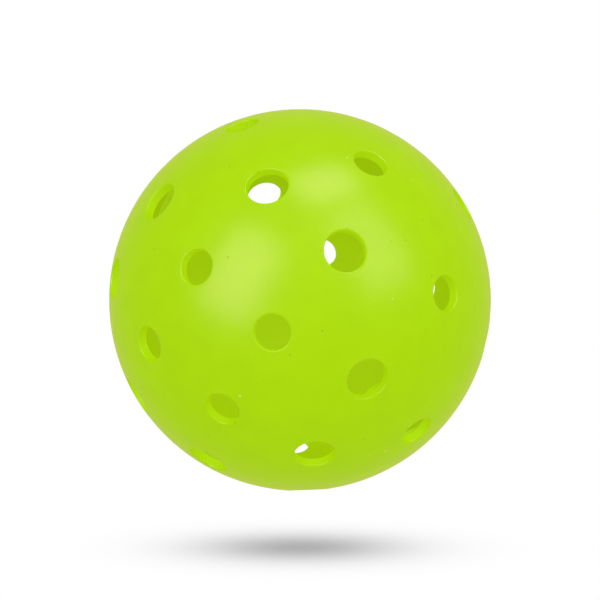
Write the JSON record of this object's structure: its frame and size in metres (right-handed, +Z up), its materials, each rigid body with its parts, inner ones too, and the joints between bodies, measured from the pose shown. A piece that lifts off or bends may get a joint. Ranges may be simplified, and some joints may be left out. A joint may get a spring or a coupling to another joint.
{
  "type": "pickleball",
  "caption": "Hollow round plastic game ball with round holes through its wall, made of matching half shells welded at the equator.",
  "frame": {"origin": "centre of the ball", "axes": "+Y is the axis of the two half shells, from the front pole to the rear pole; the weld lies in the XZ plane; +Z is up"},
  "size_m": [0.074, 0.074, 0.074],
  "materials": {
    "shell_plastic": "satin",
    "weld_plastic": "satin"
  },
  "bodies": {
    "root": {"front_half_shell": "shell_plastic", "rear_half_shell": "shell_plastic", "weld_bead": "weld_plastic"}
  },
  "joints": []
}
